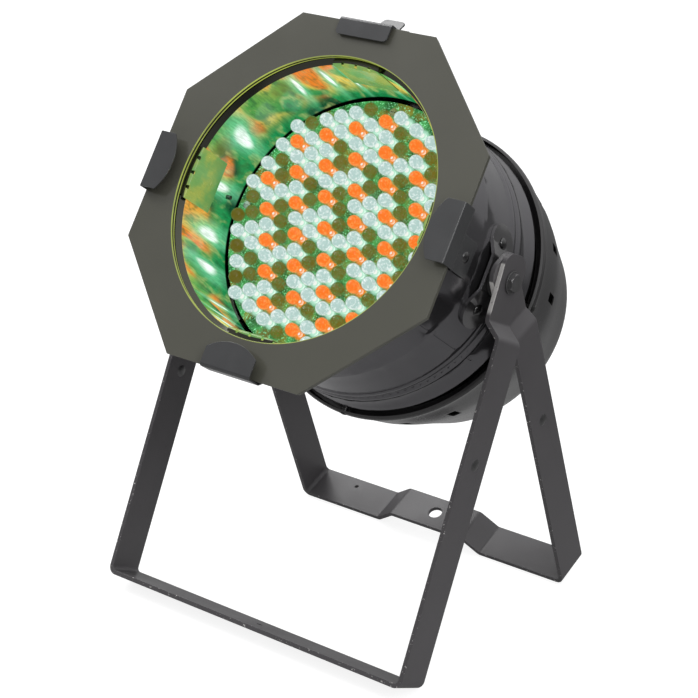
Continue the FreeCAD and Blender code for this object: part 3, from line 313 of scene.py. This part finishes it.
def painted_wall_light(s, place):
    """Painted reflection: the colour of the diodes' light, painted as emission on the polished inside of
    the can.
    """
    x, y, z = s.split(place)
    depth = s.fit(y, CAN_FRONT - 2.0, -32.0, 0.0, 1.0)
    patch = s.noise(s.scaled(place, (1.0, 0.5, 1.0)), 0.040, 1.0, 0.45, 0.5)
    other = s.noise(s.scaled(place, (1.0, 0.30, 1.0)), 0.055, 1.0, 0.45, 0.6)
    fine = s.noise(s.scaled(place, (1.0, 0.10, 1.0)), 0.9, 2.0)
    drift = s.noise(s.scaled(place, (1.0, 0.12, 1.0)), 0.017, 1.0)
    ripple = s.noise(s.scaled(place, (1.0, 0.40, 1.0)), 0.15, 2.0, 0.5, 0.3)

    # Painted reflection: yellow-green at the mouth, green by the board, with painted dark, orange and pale
    # patches.
    mouth_tone = s.mix(s.steps(patch, 0.32, 0.54), (0.07, 0.32, 0.06), (0.40, 0.46, 0.07))
    tone = s.mix(s.steps(depth, 0.10, 0.85), mouth_tone, (0.008, 0.25, 0.070))
    dark = s.times(s.steps(other, 0.50, 0.38), s.steps(depth, 0.0, 0.6))
    tone = s.mix(dark, tone, (0.001, 0.040, 0.018))
    warm = s.times(s.steps(patch, 0.42, 0.52), s.steps(depth, 0.95, 0.50))
    warm_tone = s.mix(s.steps(other, 0.40, 0.60), (0.82, 0.20, 0.015), (0.78, 0.56, 0.09))
    tone = s.mix(warm, tone, warm_tone)
    tone = s.mix(s.times(s.steps(ripple, 0.46, 0.34), 0.55), tone, (0.004, 0.11, 0.03))
    tone = s.mix(s.times(s.steps(ripple, 0.50, 0.72), 0.45), tone, (0.55, 0.62, 0.20))

    # Painted highlights: white streaks along the can, spaced unevenly round it, each in a mint halo.
    around = s.times(s.math("ARCTAN2", z, x), PAINTED_STREAKS / math.tau)
    around = s.math("ADD", around, s.fit(drift, 0.3, 0.7, -0.8, 0.8))
    aside = s.math("DIVIDE", s.math("SUBTRACT", around, s.math("ROUND", around)), 0.085)
    middle = s.fit(drift, 0.35, 0.65, 0.66, 0.36)
    along = s.math("DIVIDE", s.math("SUBTRACT", depth, middle), 0.26)
    spots = s.length(aside, along)
    tone = s.mix(s.times(s.steps(spots, 3.2, 0.6), 0.80), tone, (0.16, 0.66, 0.34))
    tone = s.mix(s.steps(spots, 1.2, 0.5), tone, (0.95, 1.10, 1.0))
    return s.mix(s.times(s.steps(fine, 0.42, 0.62), 0.30), tone, (0.01, 0.10, 0.03))


def can_metal():
    """Dark polished metal outside. Inside, greenish polished metal with a painted reflection of the diodes'
    light emitted before the board, and painted shade, near black, behind the board.
    """
    s = Shader("can_metal")
    place = s.local(CAN)
    x, y, z = s.split(place)
    growth = s.times(s.math("SUBTRACT", y, CAN_FRONT), CAN_TAPER)
    sunk = s.math("SUBTRACT", s.math("ADD", WALL_MIDDLE_R, growth), s.length(x, z))
    inside = s.steps(sunk, 0.15, 0.35)
    # Painted reflection: the wall before the board emits the painted wall colour. Painted shade: the wall
    # behind the board is made near black.
    before_board = s.steps(y, BOARD_FRONT + 2.8, BOARD_FRONT + 0.8)
    lit = s.times(before_board, inside)
    painted_shade_behind_board = s.times(s.steps(y, BOARD_FRONT + 0.8, BOARD_FRONT + 2.8), inside)
    rings = s.noise(s.scaled(place, (0.02, 2.4, 0.02)), 1.0, 3.0)
    smear = s.noise(s.scaled(place, (1.0, 0.4, 1.0)), 0.03, 4.0)
    dents = s.noise(place, 0.018, 2.0)
    outside = s.mix(smear, (0.150, 0.147, 0.155), (0.215, 0.211, 0.223))
    base = s.mix(lit, outside, (0.10, 0.12, 0.10))
    base = s.mix(painted_shade_behind_board, base, (0.004, 0.004, 0.004))
    rim = s.times(s.steps(y, CAN_FRONT + 2.4, CAN_FRONT + 1.8), 0.85)
    base = s.mix(rim, base, (0.065, 0.068, 0.045))
    rough = s.fit(s.math("ADD", smear, s.times(rings, 0.4)), 0.4, 1.0, 0.09, 0.20)
    return s.surface({"Base Color": base, "Metallic": 0.9, "Roughness": rough,
                      "Emission Color": painted_wall_light(s, place), "Emission Strength": lit,
                      "Normal": s.bump(rings, 0.001, 1.0, s.bump(dents, 1.0, 0.35))})


def seat_metal():
    """Polished plate with painted light: pale yellow-green emitted where it faces into the can's mouth,
    darker green deeper in.
    """
    s = Shader("seat_metal")
    place = s.local(CAN)
    x, y, z = s.split(place)
    cloud = s.noise(place, 0.05, 3.0)
    fine = s.noise(s.scaled(place, (1.0, 0.15, 1.0)), 0.9, 2.0)
    # Painted light: the plate emits the tones below where it faces into the can's mouth.
    inner = s.steps(s.length(x, z), SEAT_R + 0.2, SEAT_R - 0.2)
    tone = s.mix(s.steps(cloud, 0.4, 0.6), (0.16, 0.38, 0.10), (0.36, 0.44, 0.08))
    tone = s.mix(s.steps(y, -52.0, -78.0), (0.06, 0.26, 0.08), tone)
    tone = s.mix(s.fit(fine, 0.3, 0.7, 0.0, 0.35), tone, (0.10, 0.26, 0.07))
    return s.surface({"Base Color": s.mix(cloud, (0.05, 0.055, 0.04), (0.09, 0.09, 0.07)),
                      "Metallic": 0.85, "Roughness": s.fit(cloud, 0.3, 0.7, 0.18, 0.32),
                      "Emission Color": tone, "Emission Strength": s.times(inner, 0.9),
                      "Normal": s.bump(fine, 0.02)})


def frame_paint_with_painted_lip_light():
    """Gloss lacquer on the frame; the hole's cut edges get painted light, a patchy yellow-green emission
    standing for the light from inside.
    """
    s = Shader("frame_lacquer_with_painted_lip_light")
    place = s.local(CAN)
    x, _, z = s.split(place)
    cloud = s.noise(place, 0.012, 3.0)
    fine = s.noise(place, 0.9, 2.0)
    dust = s.steps(s.noise(place, 2.2, 1.0), 0.72, 0.80)
    tone = s.mix(cloud, (0.086, 0.086, 0.068), (0.108, 0.107, 0.086))
    tone = s.mix(s.times(dust, 0.15), tone, (0.22, 0.22, 0.20))
    # Painted light: a patchy yellow-green emission on the hole's cut edges.
    painted_lip_light = s.steps(s.length(x, z), FRAME_HOLE_R + 0.7, FRAME_HOLE_R + 0.4)
    uneven = s.fit(s.noise(place, 0.02, 2.0), 0.4, 0.6, 0.6, 1.0)
    rough = s.fit(s.math("ADD", cloud, s.times(fine, 0.5)), 0.4, 1.1, 0.15, 0.26)
    return s.surface({"Base Color": tone, "Roughness": rough, "Coat Weight": 0.3, "Coat Roughness": 0.1,
                      "Emission Color": (0.34, 0.42, 0.04), "Emission Strength": s.times(painted_lip_light, uneven),
                      "Normal": s.bump(fine, 0.012)})


def board_mask():
    """The board with painted light: its green mask, brown patches and solder specks are emitted colour,
    brighter round each diode, and the specks are painted glints.
    """
    s = Shader("board_mask")
    place = s.local(CAN)
    _, radius, _ = grid_position(s)
    cloud = s.noise(place, 0.10, 3.0)
    speck = s.noise(place, 0.75, 2.0)
    tone = s.mix(s.steps(cloud, 0.40, 0.60), (0.012, 0.085, 0.022), (0.040, 0.24, 0.06))
    brown = s.times(s.steps(s.noise(place, 0.07, 2.0), 0.50, 0.60), 0.65)
    tone = s.mix(brown, tone, (0.20, 0.125, 0.008))
    tone = s.mix(s.steps(speck, 0.56, 0.64), tone, (0.20, 0.62, 0.30))
    # Painted pool of light: the emission is stronger round each diode.
    painted_light_near_diode = s.steps(radius, 5.6, 3.6)
    return s.surface({"Base Color": (0.010, 0.05, 0.018), "Roughness": s.fit(speck, 0.3, 0.7, 0.2, 0.4),
                      "Emission Color": tone, "Emission Strength": s.fit(painted_light_near_diode, 0, 1, 0.9, 1.5),
                      "Normal": s.bump(speck, 0.05)})


def assign(material, *names):
    for name in names:
        node = NODES[name]
        node.data.materials.clear()
        node.data.materials.append(material)


CLIP_PAINT = lacquer("clip_lacquer", (0.052, 0.053, 0.055), gloss=0.20, coat=0.25, orange_peel=0.002)
CAP_PAINT = lacquer("cap_lacquer", (0.030, 0.029, 0.030), gloss=0.22, coat=0.3, orange_peel=0.002)
PANEL_PAINT = lacquer("panel_paint", (0.030, 0.030, 0.032), gloss=0.38, coat=0.0, orange_peel=0.05)
BRACKET_METAL = spun_metal("bracket_metal", (0.27, 0.267, 0.27), 0.13, lines=0.001)
BLACK_STEEL = plated("black_steel", (0.10, 0.10, 0.10), 0.32)
PIVOT_STEEL = plated("pivot_steel", (0.17, 0.168, 0.17), 0.36, metallic=0.7)
PLUG_STEEL = plated("plug_steel", (0.19, 0.19, 0.19), 0.32)
ZINC = plated("zinc_plate", (0.60, 0.60, 0.62), 0.28)
SUPPLY_CASE = plated("supply_case", (0.55, 0.55, 0.56), 0.4)
RIVET = plated("rivet_metal", (0.14, 0.14, 0.14), 0.22)
BRASS = plated("contact_brass", (0.75, 0.60, 0.30), 0.25)
FIBRE = moulded("friction_fibre", (0.03, 0.03, 0.03), 0.6)
DISPLAY_FILTER = moulded("display_filter", (0.05, 0.004, 0.004), 0.08, texture=0.0)
SOCKET_PLASTIC = moulded("socket_plastic", (0.022, 0.022, 0.023), 0.42)
BUTTON_PLASTIC = moulded("button_plastic", (0.10, 0.10, 0.105), 0.5)
DRIVER_BOARD = circuit("driver_board_mask", (0.01, 0.10, 0.03), (0.04, 0.25, 0.10))
LENS_GREEN = lens("lens_green_lit", (0.86, 0.96, 0.94), (0.48, 0.66, 0.63), 0.06, 0.90)
LENS_RED = lens("lens_red_lit", (1.0, 0.34, 0.07), (1.0, 0.20, 0.022), 0.04, 1.0)
# Painted light: the unlit blue diodes emit dim olive and brown colours.
LENS_BLUE_PAINTED_GLOW = lens("lens_blue_dark_painted_glow", (0.10, 0.16, 0.018), (0.17, 0.115, 0.008), 0.10, 0.72)

assign(can_metal(), "can_barrel")
assign(CAP_PAINT, "rear_cap")
assign(frame_paint_with_painted_lip_light(), "gel_frame_front_sheet", "gel_frame_spacer", "gel_frame_back_sheet")
assign(CLIP_PAINT, "frame_clip_right", "frame_clip_left", "frame_clip_bottom", "latch")
assign(seat_metal(), "frame_seat_right", "frame_seat_left", "frame_seat_bottom", "latch_bracket",
       "seat_rivets")
assign(RIVET, "clip_rivets", "pivot_bracket_rivets")
assign(BRACKET_METAL, "pivot_bracket_right", "pivot_bracket_left")
assign(FIBRE, "friction_disc_right", "friction_disc_left")
assign(PIVOT_STEEL, "pivot_washer_right", "pivot_washer_left", "pivot_bolt_right", "pivot_bolt_left")
assign(BLACK_STEEL, "rear_cap_screws", "rear_panel_screws")
assign(ZINC, "latch_pin", "pivot_nut_right", "pivot_nut_left", "led_board_screws", "board_carrier",
       "chassis_plate", "earth_stud", "data_release_tab", "latch_spring")
assign(yoke_paint("front_yoke_paint", FRONT_LEG), "front_yoke")
assign(yoke_paint("rear_yoke_paint", REAR_LEG), "rear_yoke")
assign(PLUG_STEEL, "front_yoke_plugs", "rear_yoke_plugs")
assign(board_mask(), "led_board")
assign(DRIVER_BOARD, "driver_board", "display_board")
assign(SUPPLY_CASE, "power_supply")
assign(PANEL_PAINT, "rear_panel")
assign(DISPLAY_FILTER, "display_window")
assign(SOCKET_PLASTIC, "data_input_socket", "data_output_socket", "power_inlet", "power_outlet",
       "fuse_holder", "fuse_cap")
assign(BUTTON_PLASTIC, "menu_button_1", "menu_button_2", "menu_button_3", "menu_button_4")
assign(BRASS, "data_input_pins", "power_inlet_pins")
assign(LENS_GREEN, "leds_green")
assign(LENS_RED, "leds_red")
assign(LENS_BLUE_PAINTED_GLOW, "leds_blue")


# ---------------------------------------------------------------- added pieces
def can_point(x, y, z):
    """World position of a point given in millimetres in the can's frame."""
    return PIVOT + Matrix.Rotation(-TILT, 3, "X") @ Vector((x, y, z)) * 0.001


def mesh_piece(name, build, material, body):
    """A piece whose mesh is made in the world's frame."""
    shape = bmesh.new()
    build(shape)
    data = bpy.data.meshes.new(name)
    shape.to_mesh(data)
    shape.free()
    data.materials.append(material)
    for face in data.polygons:
        face.use_smooth = True
    piece = bpy.data.objects.new(name, data)
    bpy.context.scene.collection.objects.link(piece)
    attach(piece, body)


def grid_colour(i, j):
    """Colour of the diode in column i and row j of the grid, the same as in the CAD model."""
    if i % 2 and j % 2 == 0:
        return "red"
    if i % 2:
        return "green"
    if j % 2:
        return "blue" if i % 4 == (0 if j % 4 == 1 else 2) else "green"
    if j % 4 == 2 and abs(j) < 6:
        return "blue"
    return "green" if i % 4 == 2 or j == 6 else "blue"


def lit_places(colour):
    """Columns and rows of the lit diodes of one colour."""
    reach = math.isqrt(GRID_REACH_SQ)
    for i in range(-reach, reach + 1):
        for j in range(-reach, reach + 1):
            filled = i * i + j * j <= GRID_REACH_SQ and (i, j) not in SCREW_PLACES
            dark = colour == "red" and i == DARK_COLUMN
            if filled and not dark and grid_colour(i, j) == colour:
                yield i, j


def at_diodes(colour, height, radius, flatness):
    """A flattened ball on the axis of every lit diode of one colour, at a height above the board."""
    flat = Matrix.Rotation(-TILT, 4, "X") @ Matrix.Diagonal((1.0, flatness, 1.0, 1.0))

    def build(shape):
        for i, j in lit_places(colour):
            x = GRID_PITCH * (i * math.cos(GRID_TURN) - j * math.sin(GRID_TURN))
            z = GRID_PITCH * (i * math.sin(GRID_TURN) + j * math.cos(GRID_TURN))
            place = Matrix.Translation(can_point(x, BOARD_FRONT - height, z)) @ flat
            bmesh.ops.create_icosphere(shape, subdivisions=3, radius=radius * 0.001, matrix=place)
    return build


SPOT_GREEN = glow("spot_green", (0.90, 1.0, 0.96), (0.80, 1.0, 0.92), 1.8, 2.0, 2.7)
SPOT_RED = glow("spot_red", (1.0, 0.96, 0.85), (1.0, 0.80, 0.45), 1.8, 1.6, 2.1)
FLARE_GREEN = glow("flare_green", (0.45, 0.80, 0.62), (0.20, 0.58, 0.30), 1.0, 1.4, 5.4)
FLARE_RED = glow("flare_red", (1.0, 0.25, 0.018), (1.0, 0.56, 0.12), 1.0, 0.6, 5.2)
mesh_piece("spots_green", at_diodes("green", 1.8, 2.7, 0.6), SPOT_GREEN, "can")
mesh_piece("spots_red", at_diodes("red", 1.8, 2.1, 0.6), SPOT_RED, "can")
mesh_piece("flares_green", at_diodes("green", 1.75, 5.0, 0.34), FLARE_GREEN, "can")
mesh_piece("flares_red", at_diodes("red", 1.75, 4.9, 0.34), FLARE_RED, "can")


# ---------------------------------------------------------------- edges of the sheet metal
def soften_edges(node):
    """Break the sharp edges a little, so that they catch the light."""
    weld = node.modifiers.new("weld", "WELD")
    weld.merge_threshold = 0.000002
    bevel = node.modifiers.new("edge", "BEVEL")
    bevel.width = 0.00022
    bevel.segments = 2
    bevel.limit_method = "ANGLE"
    bevel.angle_limit = math.radians(35)
    bevel.harden_normals = False
    normals = node.modifiers.new("normals", "WEIGHTED_NORMAL")
    normals.keep_sharp = True
    for face in node.data.polygons:
        face.use_smooth = True


for name, node in NODES.items():
    if not name.startswith(("leds_", "driver", "display_board")):
        soften_edges(node)


# ---------------------------------------------------------------- floor, light and camera
def stage_floor():
    """Pale paper. What the camera doesn't see of it is darker, so that the dark metal stays dark."""
    bpy.ops.mesh.primitive_plane_add(size=30.0, location=(0, 0, -0.0002))
    floor = bpy.context.object
    floor.name = "floor"
    s = Shader("floor_paper")
    coords = s.node("ShaderNodeTexCoord").outputs["Object"]
    seen = s.node("ShaderNodeLightPath").outputs["Is Camera Ray"]
    paper = s.mix(s.noise(coords, 3.0, 3.0), (0.28, 0.28, 0.28), (0.32, 0.32, 0.32))
    x, y, _ = s.split(coords)
    behind = s.steps(s.math("ADD", x, y), 0.05, 0.9)
    unseen = s.mix(behind, (0.22, 0.22, 0.22), (0.06, 0.06, 0.06))
    glare = s.times(s.math("SUBTRACT", 1.0, seen), s.fit(behind, 0.0, 1.0, 0.15, 0.05))
    floor.data.materials.append(s.surface({
        "Base Color": s.mix(seen, unseen, paper), "Roughness": 0.9, "Emission Color": (1, 1, 1, 1),
        "Emission Strength": s.math("ADD", s.times(seen, 0.86), glare)}))


def world_light():
    """White for the camera. The object sees a dim studio: bright ceiling, pale backdrop, dark walls."""
    world = bpy.data.worlds.new("studio")
    world.use_nodes = True
    tree = world.node_tree
    tree.nodes.clear()
    direction = tree.nodes.new("ShaderNodeSeparateXYZ")
    tree.links.new(tree.nodes.new("ShaderNodeTexCoord").outputs["Generated"], direction.inputs[0])

    ceiling = tree.nodes.new("ShaderNodeValToRGB")
    stops = ceiling.color_ramp.elements
    stops[0].position, stops[0].color = 0.0, (0.10, 0.10, 0.10, 1)
    stops[1].position, stops[1].color = 1.0, (1.1, 1.1, 1.1, 1)
    for position, level in ((0.10, 0.12), (0.35, 0.30), (0.60, 0.42), (0.80, 1.0)):
        stops.new(position).color = (level, level, level * 1.01, 1)
    tree.links.new(direction.outputs["Z"], ceiling.inputs[0])

    backdrop = tree.nodes.new("ShaderNodeMapRange")
    for socket, value in (("From Min", 0.35), ("From Max", 0.95), ("To Min", 0.0), ("To Max", 0.34)):
        backdrop.inputs[socket].default_value = value
    tree.links.new(direction.outputs["Y"], backdrop.inputs["Value"])

    both = tree.nodes.new("ShaderNodeVectorMath")
    tree.links.new(ceiling.outputs[0], both.inputs[0])
    tree.links.new(backdrop.outputs[0], both.inputs[1])
    room = tree.nodes.new("ShaderNodeBackground")
    tree.links.new(both.outputs[0], room.inputs["Color"])

    white = tree.nodes.new("ShaderNodeBackground")
    white.inputs["Color"].default_value = (1, 1, 1, 1)
    shown = tree.nodes.new("ShaderNodeMixShader")
    tree.links.new(tree.nodes.new("ShaderNodeLightPath").outputs["Is Camera Ray"], shown.inputs[0])
    tree.links.new(room.outputs[0], shown.inputs[1])
    tree.links.new(white.outputs[0], shown.inputs[2])
    tree.links.new(shown.outputs[0], tree.nodes.new("ShaderNodeOutputWorld").inputs[0])
    bpy.context.scene.world = world


def soft_box(name, place, aim, size, power):
    light = bpy.data.lights.new(name, "AREA")
    light.shape = "RECTANGLE"
    light.size, light.size_y = size
    light.energy = power
    lamp = bpy.data.objects.new(name, light)
    lamp.location = place
    lamp.rotation_mode = "QUATERNION"
    lamp.rotation_quaternion = (Vector(aim) - Vector(place)).to_track_quat("-Z", "Y")
    bpy.context.scene.collection.objects.link(lamp)


def camera():
    azimuth = math.radians(CAMERA_AZIMUTH)
    elevation = math.radians(CAMERA_ELEVATION)
    roll = math.radians(CAMERA_ROLL)
    level = Vector((math.cos(azimuth), math.sin(azimuth), 0))
    back = Vector((math.sin(azimuth) * math.cos(elevation), -math.cos(azimuth) * math.cos(elevation),
                   math.sin(elevation)))
    up = back.cross(level)
    side = math.cos(roll) * level - math.sin(roll) * up
    head = math.sin(roll) * level + math.cos(roll) * up
    right_by, up_by, back_by = CAMERA_PLACE
    data = bpy.data.cameras.new("camera")
    data.lens = CAMERA_LENS
    data.sensor_width = CAMERA_SENSOR
    data.clip_start = 0.05
    shot = bpy.data.objects.new("camera", data)
    shot.matrix_world = Matrix((side, head, back)).transposed().to_4x4()
    shot.matrix_world.translation = PIVOT + (right_by * side + up_by * head + back_by * back) * 0.001
    bpy.context.scene.collection.objects.link(shot)
    bpy.context.scene.camera = shot


bpy.context.scene.view_settings.view_transform = "Standard"
stage_floor()
world_light()
soft_box("key", (-2.2, -0.4, 2.4), (0, 0, 0.25), (1.2, 1.2), 30.0)
soft_box("side", (1.9, -0.75, 1.75), (0, 0, 0.25), (0.8, 1.0), 9.0)
soft_box("back", (-1.3, 0.75, 2.1), (0, 0.05, 0.1), (0.9, 0.9), 8.0)
soft_box("strip", (1.55, -1.30, 0.95), (0, 0, 0.25), (0.10, 0.9), 5.0)
camera()
